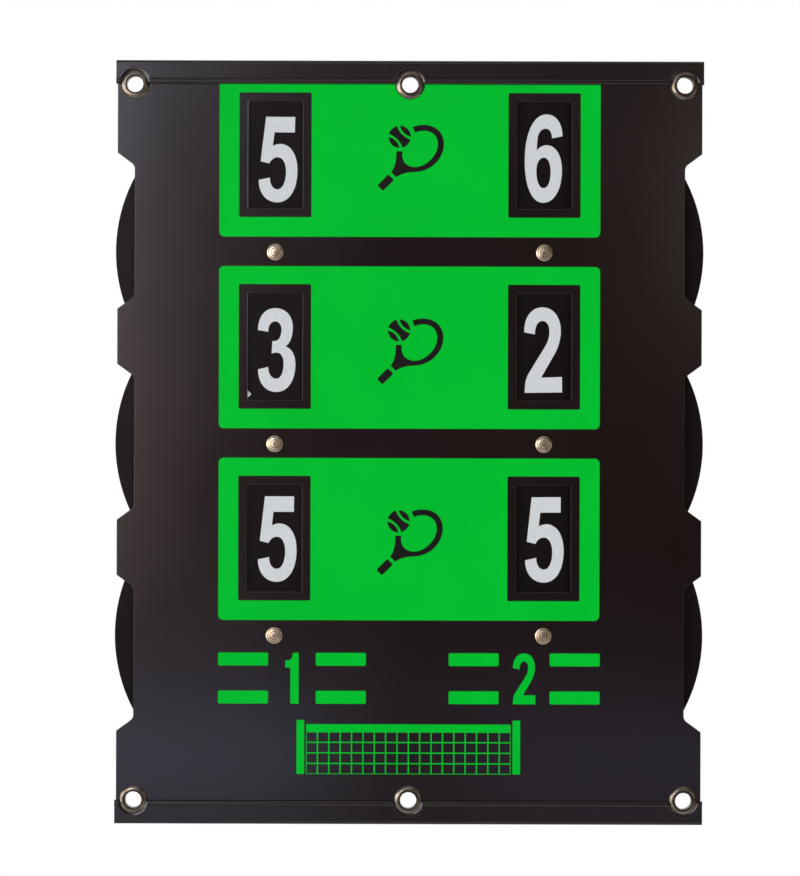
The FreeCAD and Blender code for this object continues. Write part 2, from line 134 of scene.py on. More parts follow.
sheetLook = {
    "dark": (0.0080, 0.0034, 0.0029, 1),
    "light": (0.0102, 0.0048, 0.0043, 1),
    "cutEdge": (0.013, 0.010, 0.010, 1),   # sawn edges are paler than the face
    "cutRoughness": 0.65,                  # and rougher by this much
    "cutFacing": (0.998, 0.94),            # the normal's y on the face, and where the sawn look is full
    "edgeHighlight": (0.165, 0.170, 0.185, 1),     # painted highlight on the left windows' outer edges
    "edgeHighlightPlace": 20.0,                    # how far those edges lie outside the pivots
    "edgeHighlightWidth": 0.7,
    "edgeHighlightHeight": (-20, 190),             # from none at the first height to full at the second
    "streak": (0.8, 6.0, 60.0),
    "streakShare": 0.4,                    # of the blotches; the clouds give the rest
    "pore": (0.30, 0.30, 0.45),
    "poreDetail": 2.0,
    "cloud": (70.0, 20.0, 110.0),
    "blotchRange": (0.2, 0.8),             # takes the roughness from its first value to its second
    "roughness": (0.205, 0.225),
    "gloss": 0.7,
    "depth": 0.002,
}
discLook = {
    "dark": (0.0052, 0.0030, 0.0031, 1),
    "light": (0.0074, 0.0044, 0.0045, 1),
    "pore": (0.5, 0.5, 0.5),
    "cloud": (40.0, 10.0, 40.0),
    "roughness": (0.34, 0.42),
    "gloss": 0.12,
    "depth": 0.010,
}
filmLook = {
    "dark": (0.0003, 0.446, 0.0240, 1),
    "light": (0.0006, 0.478, 0.0270, 1),
    "cloud": (60.0, 10.0, 60.0),
    "pore": (0.45, 0.45, 0.45),
    "roughness": (0.48, 0.60),
    "gloss": 0.03,
    "depth": 0.006,
}
numeralLook = {
    "dark": (0.535, 0.565, 0.565, 1),
    "light": (0.580, 0.608, 0.608, 1),
    "cloud": (2.2, 2.2, 2.2),
    "pore": (0.5, 0.5, 0.5),
    "roughness": (0.50, 0.65),
    "gloss": 0.15,
    "depth": 0.008,
}
inkLook = {
    "dark": (0.0050, 0.0040, 0.0035, 1),
    "light": (0.0090, 0.0075, 0.0065, 1),
    "cloud": (8.0, 8.0, 8.0),
    "pore": (0.5, 0.5, 0.5),
    "roughness": (0.45, 0.58),
    "gloss": 0.12,
    "depth": 0.006,
}
nickelLook = {
    "metallic": 1.0,
    "dark": (0.16, 0.128, 0.098, 1),
    "light": (0.34, 0.305, 0.24, 1),
    # painted shade over each eyelet's throat and crest
    "throatShade": (0.070, 0.052, 0.040, 1),
    "throatShadeRadii": (7.0, 8.2),   # radius up to which the front is painted in shade, and from which it shows its own plating
    "cloud": (5.0, 5.0, 5.0),
    "pore": (0.4, 0.4, 0.4),
    "roughness": (0.25, 0.37),
    "depth": 0.004,
}
turnedLook = {
    "metallic": 1.0,
    "dark": (0.60, 0.45, 0.28, 1),
    "light": (0.95, 0.82, 0.62, 1),
    "grooveShade": (0.20, 0.13, 0.075, 1),   # painted shade in the grooves of the rings
    "cloud": (2.4, 2.4, 2.4),
    "pore": (0.25, 0.25, 0.25),
    "roughness": (0.30, 0.44),
    "depth": 0.006,
}
# the slot across the screw heads is painted in shade
slottedLook = {**turnedLook, "slotWidth": 1.2, "grooveShade": (0.050, 0.035, 0.022, 1)}
nylonLook = {
    "dark": (0.66, 0.65, 0.60, 1),
    "light": (0.78, 0.77, 0.73, 1),
    "cloud": (4.0, 4.0, 4.0),
    "pore": (0.4, 0.4, 0.4),
    "roughness": (0.42, 0.55),
    "gloss": 0.4,
    "depth": 0.010,
}
spacerLook = {
    "dark": (0.016, 0.016, 0.017, 1),
    "light": (0.030, 0.030, 0.031, 1),
    "cloud": (3.0, 3.0, 3.0),
    "pore": (0.3, 0.3, 0.3),
    "roughness": (0.45, 0.60),
    "gloss": 0.4,
    "depth": 0.015,
}


def boxMiddle(node):
    low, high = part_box(node)
    return (low + high) / 2


def boardPlace(tree):
    # where a point lies on the board, as X, Y and Z sockets
    return splitVector(tree, tree.nodes.new("ShaderNodeTexCoord").outputs["Object"])


def throatShadeMask(tree, dull, bright):
    # 1 in the throat and over the crest of each eyelet on the front of the board, where painted shade dims
    # the lamps' reflection
    eyelet = boxMiddle("eyelet_top_right")   # the row's eyelets stand eyelet.x apart
    place = boardPlace(tree)
    across = calculate(tree, "WRAP", place["X"], eyelet.x / 2, -eyelet.x / 2)
    up = calculate(tree, "SUBTRACT", calculate(tree, "ABSOLUTE", place["Z"]), eyelet.z)
    upSquared = calculate(tree, "MULTIPLY", up, up)
    radius = calculate(tree, "SQRT", calculate(tree, "MULTIPLY_ADD", across, across, upSquared))
    inFront = calculate(tree, "LESS_THAN", place["Y"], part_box("front_panel")[0].y)
    return calculate(tree, "MULTIPLY", inFront, remap(tree, radius, bright * mm, dull * mm))


def slotShade(tree, width):
    # 1 in the slot across each screw's head, behind the board, which is painted in shade
    middle = discTurns["left_middle_disc"]["pos_m"][2]
    apart = discTurns["left_top_disc"]["pos_m"][2] - middle
    place = boardPlace(tree)
    up = calculate(tree, "WRAP", place["Z"], middle + apart / 2, middle - apart / 2)
    offAxis = calculate(tree, "ABSOLUTE", calculate(tree, "SUBTRACT", up, middle))
    behind = calculate(tree, "GREATER_THAN", place["Y"], 0.0)
    return calculate(tree, "MULTIPLY", behind, calculate(tree, "LESS_THAN", offAxis, width / 2 * mm))


def grainedFinish(name, look):
    # slow clouds of colour over a fine grain that breaks up the gloss
    material, tree, shader = startMaterial(name, look)
    cloud = grain(tree, look["cloud"])
    pore = grain(tree, look["pore"])
    colour = mixColour(tree, cloud, look["dark"], look["light"])
    # painted shade on the eyelets' throats and crests
    if "throatShade" in look:
        colour = mixColour(tree, throatShadeMask(tree, *look["throatShadeRadii"]), colour, look["throatShade"])
    # painted shade in the screws' slots
    if "slotWidth" in look:
        colour = mixColour(tree, slotShade(tree, look["slotWidth"]), colour, look["grooveShade"])
    # painted shade in the grooves of the turned rings
    elif "grooveShade" in look:
        grooveShade = tree.nodes.new("ShaderNodeAttribute")
        grooveShade.attribute_name = "grooveShade"
        colour = mixColour(tree, grooveShade.outputs["Fac"], colour, look["grooveShade"])
    feed(tree, shader.inputs["Base Color"], colour)
    feed(tree, shader.inputs["Roughness"], remap(tree, pore, 0, 1, *look["roughness"]))
    relief(tree, shader, pore, look["depth"])
    return material


def cutEdge(tree, onFace, onCut):
    # 1 on sawn edges, which look neither to the front nor to the back
    geometry = tree.nodes.new("ShaderNodeNewGeometry")
    normal = splitVector(tree, geometry.outputs["True Normal"])
    return remap(tree, calculate(tree, "ABSOLUTE", normal["Y"]), onFace, onCut)


def windowEdgeHighlight(tree, look):
    # 1 where a painted highlight lies on the outer edges of the left windows, fainter further down
    place = boardPlace(tree)
    edgeX = discTurns["left_top_disc"]["pos_m"][0] - look["edgeHighlightPlace"] * mm
    beside = calculate(tree, "COMPARE", place["X"], edgeX, look["edgeHighlightWidth"] * mm)
    upward = remap(tree, place["Z"], *[height * mm for height in look["edgeHighlightHeight"]])
    return calculate(tree, "MULTIPLY", beside, upward)


def sheetFinish(name, look, sawn):
    # satin sheet with fine upright streaks from rolling; on a sawn sheet the cut edges are paler
    material, tree, shader = startMaterial(name, look)
    streak = grain(tree, look["streak"])
    cloud = grain(tree, look["cloud"])
    pore = grain(tree, look["pore"], look["poreDetail"])
    clouded = calculate(tree, "MULTIPLY", cloud, 1 - look["streakShare"])
    blotch = calculate(tree, "MULTIPLY_ADD", streak, look["streakShare"], clouded)
    colour = mixColour(tree, blotch, look["dark"], look["light"])
    roughness = remap(tree, blotch, *look["blotchRange"], *look["roughness"])
    if sawn:
        edge = cutEdge(tree, *look["cutFacing"])
        # sawn edges get their paler colour, and the left windows' outer edges a painted highlight
        cutColour = mixColour(tree, windowEdgeHighlight(tree, look), look["cutEdge"], look["edgeHighlight"])
        colour = mixColour(tree, edge, colour, cutColour)
        roughness = calculate(tree, "MULTIPLY_ADD", edge, look["cutRoughness"], roughness)
    feed(tree, shader.inputs["Base Color"], colour)
    feed(tree, shader.inputs["Roughness"], roughness)
    relief(tree, shader, calculate(tree, "ADD", streak, pore), look["depth"])
    return material


finishes = {
    "front_panel": sheetFinish("sawn black sheet", sheetLook, True),
    "back_panel": sheetFinish("folded black sheet", sheetLook, False),
    "score_field": grainedFinish("green film", filmLook),
    "score_disc": grainedFinish("black disc", discLook),
    "front_washer": grainedFinish("nylon", nylonLook),
    "pivot_post": grainedFinish("turned steel", turnedLook),
    "pivot_screw": grainedFinish("slotted steel", slottedLook),
    "eyelet_spacer": grainedFinish("moulded black", spacerLook),
    "eyelet": grainedFinish("nickel plate", nickelLook),
}
finishes["back_washer"] = finishes["front_washer"]
finishes["eyelet_washer"] = finishes["eyelet"]
numeralInk = grainedFinish("pale numeral ink", numeralLook)
pictogramInk = grainedFinish("black ink", inkLook)
markInk = finishes["score_field"]


def dressNodes():
    kinds = sorted(finishes, key=len, reverse=True)   # the longest fitting name counts
    for name, node in frame["nodes"].items():
        kind = next(kind for kind in kinds if name.startswith(kind))
        for slot in node.material_slots:
            slot.material = finishes[kind]


dressNodes()
print("finishes made and put on the", len(frame["nodes"]), "nodes")


# Mesh helpers

mergeWidth = 0.002   # doubles nearer than this are merged
joinWidth = 0.06     # path points nearer than this are one
curveSteps = 12      # along each curve of a path


def finishPiece(name, bm, material, body, sharpAngle=35):
    mesh = bpy.data.meshes.new(name)
    bm.to_mesh(mesh)
    bm.free()
    mesh.shade_smooth()
    mesh.set_sharp_from_angle(angle=math.radians(sharpAngle))
    mesh.materials.append(material)
    piece = bpy.data.objects.new(name, mesh)
    bpy.context.scene.collection.objects.link(piece)
    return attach(piece, body)


def closeMesh(bm):
    bmesh.ops.remove_doubles(bm, verts=bm.verts, dist=mergeWidth * mm)
    bmesh.ops.recalc_face_normals(bm, faces=bm.faces)


def roundedPath(corners, fullness):
    # A corner is (x, y), or (x, y, before, after) where a curve starts that far before it and ends
    # that far after it. Gives [place, handle before, handle after], with None on a straight side.
    path = []
    for number, corner in enumerate(corners):
        spot = Vector((corner[0], corner[1], 0))
        if len(corner) == 2:
            path.append([spot, None, None])
            continue
        last = Vector((*corners[number - 1][:2], 0))
        following = Vector((*corners[(number + 1) % len(corners)][:2], 0))
        start = spot + (last - spot).normalized() * corner[2]
        end = spot + (following - spot).normalized() * corner[3]
        path.append([start, None, start.lerp(spot, fullness)])
        path.append([end, end.lerp(spot, fullness), None])
    joined = []
    for point in path:
        if joined and (joined[-1][0] - point[0]).length < joinWidth:
            joined[-1][2] = point[2]
        else:
            joined.append(point)
    if (joined[0][0] - joined[-1][0]).length < joinWidth:
        joined[0][1] = joined.pop()[1]
    return joined


def outlineMesh(outlines, thickness, fullness):
    # a flat shape from closed paths; a path inside another is a hole
    curve = bpy.data.curves.new("outline", "CURVE")
    curve.dimensions = "2D"
    curve.fill_mode = "BOTH"
    curve.extrude = thickness / 2
    curve.resolution_u = curveSteps
    for corners in outlines:
        path = roundedPath(corners, fullness)
        spline = curve.splines.new("BEZIER")
        spline.bezier_points.add(len(path) - 1)
        spline.use_cyclic_u = True
        for point, (spot, before, after) in zip(spline.bezier_points, path):
            point.handle_left_type = "FREE" if before else "VECTOR"
            point.handle_right_type = "FREE" if after else "VECTOR"
            point.co = spot
            point.handle_left = before or spot
            point.handle_right = after or spot
    holder = bpy.data.objects.new("outline", curve)
    mesh = bpy.data.meshes.new_from_object(holder)
    bpy.data.objects.remove(holder)
    bpy.data.curves.remove(curve)
    mesh.transform(Matrix.Translation((0, 0, thickness / 2)))
    return mesh


def addFlat(bm, outlines, look, place):
    mesh = outlineMesh(outlines, look["thickness"], look["fullness"])
    mesh.transform(place)
    bm.from_mesh(mesh)
    bpy.data.meshes.remove(mesh)


def printFlat(name, shapes, look, material, body):
    # shapes is a list of (outlines in mm, matrix that puts them in place)
    bm = bmesh.new()
    for outlines, place in shapes:
        addFlat(bm, outlines, look, place)
    closeMesh(bm)
    return finishPiece(name, bm, material, body)


towardsViewer = Vector((0, -1, 0))


def facePlane(spot, outward):
    # plane with x to the right, y up and z outwards, in mm
    right = Vector((1, 0, 0))
    up = outward.cross(right)
    turn = Matrix((right, up, outward)).transposed().to_4x4()
    return Matrix.Translation(spot) @ turn @ Matrix.Scale(mm, 4)


# Numerals, eight on each disc, standing on a circle round the pivot

numeral = {
    "thickness": 0.05,
    "lift": 0.006,
    "fullness": 0.60,
    "scale": 0.988,
    "aboveSpindle": 37.8,
    "step": 45,
    "shown": {"left_top": 5, "right_top": 6, "left_middle": 3, "right_middle": 2,
              "left_bottom": 5, "right_bottom": 5},
    # how far each disc is turned clockwise past its number, and how far that number's print stands
    # off its true place to the right and up
    "offset": {"left_top": (0.5, 1.4, -1.2), "right_top": (-0.2, -0.4, -0.9),
               "left_middle": (-0.2, 1.4, 0.2), "right_middle": (-0.7, 0.2, 0.3),
               "left_bottom": (0.2, 1.9, 1.5), "right_bottom": (-0.3, 1.1, 1.4)},
}
# 0 to 7, with corners as roundedPath takes them
numeralShapes = [
    {"width": 28.0, "outlines": [
        [(0, 0, 32, 14), (28, 0, 14, 32), (28, 64, 32, 14), (0, 64, 14, 32)],
        [(8.7, 10.3, 21.7, 5.3), (19.3, 10.3, 5.3, 21.7), (19.3, 53.7, 21.7, 5.3), (8.7, 53.7, 5.3, 21.7)]]},
    {"width": 24.0, "outlines": [
        [(10, 0), (20.4, 0), (20.4, 64), (13.2, 64), (11.5, 54.6, 4, 5), (3.6, 54), (3.6, 45.4),
         (10, 45.4)]]},
    {"width": 27.8, "outlines": [
        [(0, 0), (27.8, 0), (27.8, 11.5), (12.3, 11.2), (27.3, 36.8, 9, 8.9), (27.3, 63.4, 17.7, 13.7),
         (0, 63.4, 13.6, 18.4), (0, 45), (8, 43.4), (8, 53.3, 9.9, 5.7), (18.8, 53.3, 5.1, 7.8),
         (18.8, 39.5, 6, 5.5), (0.5, 10.2, 5, 6)]]},
    {"width": 28.0, "outlines": [
        [(0.2, 16.9), (0.2, 0, 16.9, 13.6), (28, 0, 14.2, 20.8), (28, 31.8, 11, 7.9), (20.4, 34),
         (26.1, 36.5, 6.2, 11.4), (26.1, 62.3, 14.4, 13.1), (0.2, 62.3, 12.8, 16.3), (0.2, 46),
         (7.8, 44.7), (7.8, 52.4, 7.7, 5.2), (17.7, 52.4, 4.7, 6), (17.7, 38, 8.4, 5.1), (10.9, 37.8),
         (10.3, 28.5), (12.5, 29.3, 2.3, 1.7), (19.2, 29.3, 5, 8.1), (19.2, 9.9, 11.3, 5.4),
         (7.8, 9.9, 6, 8.7), (7.8, 18.6)]]},
    {"width": 35.0, "outlines": [
        [(16.2, 0), (24.9, 0), (24.9, 13.5), (29, 13.5), (29, 23.3), (24.9, 23.3), (24.9, 64), (14.6, 64),
         (0, 24), (0, 13.5), (16.2, 13.5)],
        [(16.2, 23.3), (8.2, 23.3), (16.2, 46.5)]]},
    {"width": 28.7, "outlines": [
        [(5, 63.5), (1.3, 30.4), (7.8, 28.8), (9.6, 33.5, 5.03, 4.4), (20.2, 33.5, 6.2, 10.9),
         (20.2, 9.7, 12.9, 6.2), (8.3, 9.7, 5.7, 8.7), (8.3, 18.4), (0, 16.6), (0, 0, 16.6, 14),
         (28.7, 0, 14.7, 23.4), (28.7, 43.4, 20, 12.8), (12.5, 43.4, 3.4, 2.8), (10.2, 41.8), (11.4, 52),
         (26.5, 52), (26.6, 63.5)]]},
    {"width": 28.1, "outlines": [
        [(8.9, 38.6), (11.5, 42.8, 4.94, 4.7), (27.7, 42.8, 11.5, 18.4), (27.7, 0, 24.4, 14.1),
         (0, 0, 13.6, 30.5), (0, 65.7, 35.2, 16.2), (28.1, 65.7, 11.9, 16.3), (28.1, 49.4), (20.3, 47.9),
         (20.3, 55.1, 7.2, 4.6), (10.1, 55.1, 5.6, 8.2)],
        [(8.7, 10.9, 12.7, 5.3), (19.3, 10.9, 5.3, 12), (19.3, 33.6, 10.7, 5), (8.7, 33.6, 5.6, 10)]]},
    {"width": 28.0, "outlines": [
        [(0.6, 64), (0.6, 52.2), (18.2, 52.2), (8, 31, 14, 12), (6.4, 0), (16, 0), (17.4, 33, 12, 16),
         (28, 54.5), (28, 64)]]},
]


def discFace(column, row):
    # the plane on a disc's front, with its origin on the pivot
    joint = discTurns[f"{column}_{row}_disc"]
    pivot = Vector(joint["pos_m"])
    outward = Vector(joint["axis"]).normalized()
    disc = frame["nodes"][f"score_disc_{column}_{row}"]
    height = max((vertex.co - pivot).dot(outward) for vertex in disc.data.vertices)
    return facePlane(pivot + outward * (height + numeral["lift"] * mm), outward)


def makeNumerals(column, row):
    name = f"{column}_{row}"
    past, right, up = numeral["offset"][name]
    face = discFace(column, row)
    scale = numeral["scale"]
    resize = Matrix.Diagonal((scale, scale, 1, 1))
    shapes = []
    for number, shape in enumerate(numeralShapes):
        clockwise = (number - numeral["shown"][name]) * numeral["step"] + past
        turn = Matrix.Rotation(-math.radians(clockwise), 4, "Z")
        onShow = number == numeral["shown"][name]
        across = (right if onShow else 0) - shape["width"] / 2 * scale
        stand = Matrix.Translation((across, numeral["aboveSpindle"] + (up if onShow else 0), 0))
        shapes.append((shape["outlines"], face @ turn @ stand @ resize))
    printFlat(f"numerals_{name}", shapes, numeral, numeralInk, f"{name}_disc")


for row in rows:
    for column in columns:
        makeNumerals(column, row)
print("numerals printed on the discs")


# Racket and ball between the windows, drawn along the racket's own axis and then turned

pictogram = {
    "thickness": 0.04,
    "lift": 0.006,
    "fullness": 0.56,
    "turn": 45,
    "right": 1.1,
    "abovePivot": {"top": 70.0, "middle": 68.6, "bottom": 69.2},
    "ballPlace": (4.3, 16.6),
}
racketOutlines = [
    [(16.05, 14.95), (27.8, 10.1, 11.9, 10.1), (27.8, -15.7, 15.7, 18.8), (1.15, -15.7, 7.85, 7.5),
     (-4.5, -10.8), (-12.5, -3.9, 5, 4), (-18.4, -2.6), (-18.4, 2.6), (-12.5, 3.9, 4, 5), (-4.7, 10.8),
     (-1.8, 7.5), (-6.5, 3.8, 4.2, 3.8), (-6.5, -11.3, 11.3, 14.4), (23.4, -11.3, 14.4, 11.3),
     (23.4, 7.2, 7.2, 8.9), (14.45, 10.85)],
    [(-32.4, -2.9, 1.2, 1.2), (-21, -2.9, 1.2, 1.2), (-21, 2.9, 1.2, 1.2), (-32.4, 2.9, 1.2, 1.2)],
]
ballOutlines = [
    [(4.2, 7.04), (0, 9.55, 4.89, 4.89), (-4.2, 7.04), (-0.15, 0, 8.12, 8.12), (-4.2, -7.04),
     (0, -9.55, 4.89, 4.89), (4.2, -7.04), (0.15, 0, 8.12, 8.12)],
    [(5.9, 5.69), (1.85, 0, 6.98, 6.98), (5.9, -5.69), (8.2, -3.31, 3.31, 3.31), (8.2, 3.31, 3.31, 3.31)],
    [(-5.9, 5.69), (-1.85, 0, 6.98, 6.98), (-5.9, -5.69), (-8.2, -3.31, 3.31, 3.31),
     (-8.2, 3.31, 3.31, 3.31)],
]


def makePictogram(row):
    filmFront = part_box(f"score_field_{row}")[0].y
    pivotHeight = discTurns[f"left_{row}_disc"]["pos_m"][2]
    spot = Vector((pictogram["right"] * mm, filmFront - pictogram["lift"] * mm,
                   pivotHeight + pictogram["abovePivot"][row] * mm))
    tilted = facePlane(spot, towardsViewer) @ Matrix.Rotation(math.radians(pictogram["turn"]), 4, "Z")
    ball = tilted @ Matrix.Translation((*pictogram["ballPlace"], 0))
    printFlat(f"pictogram_{row}", [(racketOutlines, tilted), (ballOutlines, ball)], pictogram,
              pictogramInk, "board")


for row in rows:
    makePictogram(row)
print("pictograms printed on the green fields")


# Marks below the fields: a numbered bar mark under each column and a net at the bottom

sideMark = {
    "thickness": 0.05,
    "lift": 0.006,
    "fullness": 0.60,
    "height": 37.4,
    "barLength": 36.7,
    "barThickness": 9.5,
    "barCorner": 1.2,
    "numeralGap": 10.5,
    "middle": -173.1,
    "places": {"left": (-85.5, 1), "right": (84.8, 2)},
}
net = {
    "thickness": 0.05,
    "lift": 0.006,
    "width": 150.0,
    "height": 31.0,
    "meshes": (18, 4),
    "cord": 1.3,
    "tape": 5.6,
    "post": 5.6,
    "postGap": 1.4,
    "postRise": 3.0,
    "middle": -227.8,
    "corner": 0.8,
    "fullness": 0.55,
}
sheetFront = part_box("front_panel")[0].y


def bar(left, bottom, right, top, corner):
    cut = (corner, corner)
    return [(left, bottom, *cut), (right, bottom, *cut), (right, top, *cut), (left, top, *cut)]


def markPlane(x, z, look):
    return facePlane(Vector((x * mm, sheetFront - look["lift"] * mm, z * mm)), towardsViewer)


def makeSideMark(column):
    x, number = sideMark["places"][column]
    plane = markPlane(x, sideMark["middle"], sideMark)
    half = sideMark["height"] / 2
    shape = numeralShapes[number]
    tall = max(corner[1] for corner in shape["outlines"][0])
    scale = sideMark["height"] / tall
    resize = Matrix.Diagonal((scale, scale, 1, 1))
    stand = Matrix.Translation((-shape["width"] / 2 * scale, -half, 0)) @ resize
    inner = shape["width"] / 2 * scale + sideMark["numeralGap"]
    outer = inner + sideMark["barLength"]
    thick = sideMark["barThickness"]
    bars = []
    for left, right in ((-outer, -inner), (inner, outer)):
        for bottom, top in ((-half, thick - half), (half - thick, half)):
            bars.append(bar(left, bottom, right, top, sideMark["barCorner"]))
    printFlat(f"side_mark_{column}", [(shape["outlines"], plane @ stand), (bars, plane)], sideMark,
              markInk, "board")


def makeNet():
    # a grid whose meshes are opened by an inset, with a tape along the top and a post at each end
    plane = markPlane(0, net["middle"], net)
    bm = bmesh.new()
    bmesh.ops.create_grid(bm, x_segments=net["meshes"][0], y_segments=net["meshes"][1], size=0.5)
    bmesh.ops.scale(bm, vec=(net["width"], net["height"], 1), verts=bm.verts)
    meshes = list(bm.faces)
    bmesh.ops.inset_individual(bm, faces=meshes, thickness=net["cord"] / 2)
    bmesh.ops.delete(bm, geom=meshes, context="FACES")
    raised = bmesh.ops.extrude_face_region(bm, geom=list(bm.faces))
    lifted = [item for item in raised["geom"] if isinstance(item, bmesh.types.BMVert)]
    bmesh.ops.translate(bm, verts=lifted, vec=(0, 0, net["thickness"]))
    bmesh.ops.transform(bm, matrix=plane, verts=bm.verts)
    halfWidth = net["width"] / 2
    halfHeight = net["height"] / 2
    top = halfHeight + net["tape"]
    tape = bar(-halfWidth, halfHeight, halfWidth, top, net["corner"])
    addFlat(bm, [tape], net, plane)
    postInside = halfWidth + net["postGap"]
    for side in (-1, 1):
        left, right = sorted((side * postInside, side * (postInside + net["post"])))
        addFlat(bm, [bar(left, -halfHeight, right, top + net["postRise"], net["corner"])], net, plane)
    closeMesh(bm)
    finishPiece("net_mark", bm, markInk, "board")


for column in columns:
    makeSideMark(column)
makeNet()
print("marks printed below the fields")


# Pivot posts: turned, with a domed head that carries the rings of the lathe tool

post = {
    "crown": 1.7,
    "edge": 0.6,
    "headRadius": 6.15,
    "shankRadius": 4.0,
    "boreRadius": 2.05,
    "boreEnd": 5.8,       # above the back of the board
    "steps": 72,
    "sharpAngle": 28,
    # radius and how deep the tool cut below the dome there
    "rings": [(0, 0), (0.65, 0.02), (0.8, 0.22), (1.2, 0.22), (1.35, 0), (2.65, 0), (2.8, 0.22),
              (3.15, 0.22), (3.3, 0), (4.45, 0), (4.6, 0.20), (4.9, 0.20), (5.05, 0), (5.8, 0.03),
              (6.05, 0.12), (6.15, 0.28)],
    "grooveDepth": 0.2,   # a ring cut this deep gets the full painted shade
}


def makePost(column, row):
    node = f"pivot_post_{column}_{row}"
    low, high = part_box(node)
    seat = -low.y / mm - post["crown"]     # depth of the front sheet's face
    foot = -high.y / mm
    fall = post["crown"] - post["edge"]
    section = []
    for radius, cut in post["rings"]:
        dome = post["crown"] - fall * (radius / post["headRadius"]) ** 2
        section.append((radius, seat + dome - cut))
    section += [(post["headRadius"], seat), (post["shankRadius"], seat), (post["shankRadius"], foot),
                (post["boreRadius"], foot), (post["boreRadius"], post["boreEnd"]), (0, post["boreEnd"])]
    bm = bmesh.new()
    # how much painted shade each ring groove gets, by how deep it is cut
    grooveShade = bm.verts.layers.float.new("grooveShade")
    spots = [bm.verts.new((radius, -depth, 0)) for radius, depth in section]
    for spot, (radius, cut) in zip(spots, post["rings"]):
        spot[grooveShade] = min(1, cut / post["grooveDepth"]) if radius < post["headRadius"] else 0
    for first, second in zip(spots, spots[1:]):
        bm.edges.new((first, second))
    bmesh.ops.spin(bm, geom=list(bm.verts) + list(bm.edges), cent=(0, 0, 0), axis=(0, 1, 0), dvec=(0, 0, 0),
                   angle=2 * math.pi, steps=post["steps"], use_merge=True)
    axisSpot = boxMiddle(node)
    axisSpot.y = 0
    bmesh.ops.transform(bm, matrix=Matrix.Translation(axisSpot) @ Matrix.Scale(mm, 4), verts=bm.verts)
    closeMesh(bm)
    piece = finishPiece(f"turned_post_{column}_{row}", bm, finishes["pivot_post"], "board",
                        post["sharpAngle"])
    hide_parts(node)


for row in rows:
    for column in columns:
        makePost(column, row)
print("pivot posts turned")


# Lips that carry the hem's bead on round the eyelets, bevelled towards them

hemLip = {
    # radius from the eyelet's axis and fall below the bead's crest; the last three corners lie hidden
    "section": [(9.9, 1.66), (10.4, 1.38), (10.9, 1.21), (11.4, 1.12), (11.9, 1.08), (12.3, 1.10),
                (12.6, 1.22), (12.6, 1.6), (11.3, 2.1), (10.3, 1.94)],
    "startsAt": 8,       # the rest of the half circle lies in the bead
    "steps": 48,
    "endRounding": 0.3,
    "endSegments": 3,
}


def makeHemLip(edge, place):
    section = hemLip["section"]
    sweep = math.radians(180 - 2 * hemLip["startsAt"])
    bm = bmesh.new()
    bm.faces.new([bm.verts.new((radius, fall, 0)) for radius, fall in section])
    bmesh.ops.rotate(bm, verts=bm.verts, cent=(0, 0, 0),
                     matrix=Matrix.Rotation(-math.radians(hemLip["startsAt"]), 3, "Y"))
    bmesh.ops.spin(bm, geom=list(bm.verts) + list(bm.edges) + list(bm.faces), cent=(0, 0, 0),
                   axis=(0, -1, 0), dvec=(0, 0, 0), angle=sweep, steps=hemLip["steps"])
    rims = {rim for face in bm.faces if len(face.verts) == len(section) for rim in face.edges}
    bmesh.ops.bevel(bm, geom=list(rims), offset=hemLip["endRounding"], affect="EDGES",
                    segments=hemLip["endSegments"], profile=0.5, material=-1)
    spot = boxMiddle(f"eyelet_{edge}_{place}")
    spot.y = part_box("back_panel")[0].y     # the bead's crest
    turn = Matrix.Rotation(math.pi if edge == "bottom" else 0, 4, "Y")
    bmesh.ops.transform(bm, matrix=Matrix.Translation(spot) @ turn @ Matrix.Scale(mm, 4), verts=bm.verts)
    closeMesh(bm)
    piece = finishPiece(f"hem_lip_{edge}_{place}", bm, finishes["back_panel"], "board")


for edge in ("top", "bottom"):
    for place in ("left", "middle", "right"):
        makeHemLip(edge, place)
print("hem lips laid round the eyelets")


# Studio: pale floor, soft lamps and a white surround

floor = {
    "radius": 1150,
    "level": -450,
    "segments": 96,
    "colour": (0.86, 0.86, 0.86, 1),
    "roughness": 0.9,
    "gloss": 0.0,
    "glow": 0.42,          # what the camera sees on top of the lamplight, so that it stays pale
    "glowColour": (1, 1, 1, 1),
    "fade": (0.55, 1.0),   # shares of the radius between which the floor fades into the surround
}
